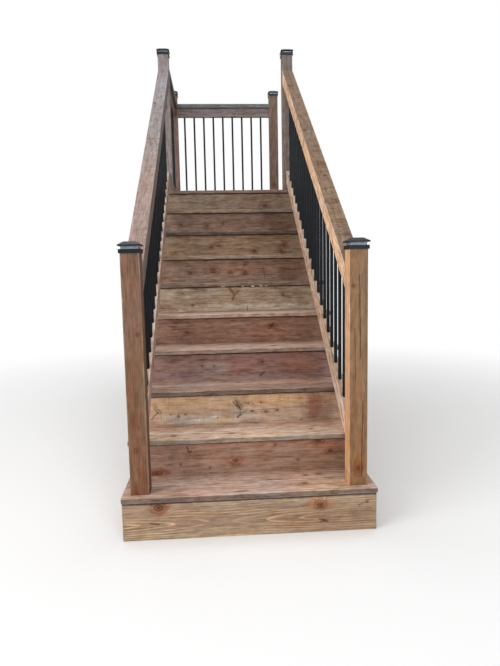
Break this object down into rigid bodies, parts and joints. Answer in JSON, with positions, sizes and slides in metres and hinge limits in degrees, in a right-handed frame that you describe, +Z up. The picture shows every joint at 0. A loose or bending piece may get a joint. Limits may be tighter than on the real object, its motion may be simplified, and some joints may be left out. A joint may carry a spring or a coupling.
{
  "type": "wooden deck stairs",
  "caption": "Straight flight of wooden deck stairs with closed risers, sloped rails, round black balusters, post cap lights and a railed square landing.",
  "frame": {"origin": "on the ground, under the middle of the whole", "axes": "+Z up; the flight climbs along +Y; +X to the right of someone climbing, which is the landing's open side"},
  "size_m": [1.22, 3.572, 3.133],
  "materials": {
    "tread_wood": "weathered softwood boards with eased edges",
    "riser_wood": "weathered softwood boards with knots",
    "framing_wood": "rough sawn treated lumber",
    "deck_wood": "weathered softwood boards with eased edges",
    "post_wood": "weathered square posts with drying checks",
    "rail_wood": "weathered rails with mill marks",
    "guard_wood": "weathered grey brown rails",
    "baluster_metal": "black powder coat",
    "cap_shell": "black moulded plastic",
    "cap_window": "clear plastic window"
  },
  "bodies": {
    "root": {"tread_1": "tread_wood", "tread_2": "tread_wood", "tread_3": "tread_wood", "tread_4": "tread_wood", "tread_5": "tread_wood", "tread_6": "tread_wood", "tread_7": "tread_wood", "tread_8": "tread_wood", "tread_9": "tread_wood", "risers": "riser_wood", "stringer_left": "framing_wood", "stringer_middle": "framing_wood", "stringer_right": "framing_wood", "landing_header": "framing_wood", "landing_joists": "framing_wood", "landing_rim_left": "framing_wood", "landing_rim_right": "framing_wood", "landing_rim_back": "framing_wood", "landing_boards": "deck_wood", "newel_left": "post_wood", "newel_right": "post_wood", "post_front_left": "post_wood", "post_front_right": "post_wood", "post_back_left": "post_wood", "post_back_right": "post_wood", "stair_rail_left": "rail_wood", "stair_rail_right": "rail_wood", "stair_low_rail_left": "rail_wood", "stair_low_rail_right": "rail_wood", "back_cap_rail": "guard_wood", "back_rail": "guard_wood", "back_low_rail": "guard_wood", "side_cap_rail": "guard_wood", "side_rail": "guard_wood", "side_low_rail": "guard_wood", "stair_balusters_left": "baluster_metal", "stair_balusters_right": "baluster_metal", "back_balusters": "baluster_metal", "side_balusters": "baluster_metal", "cap_light_bases": "cap_shell", "cap_light_roofs": "cap_shell", "cap_light_windows": "cap_window"}
  },
  "joints": []
}
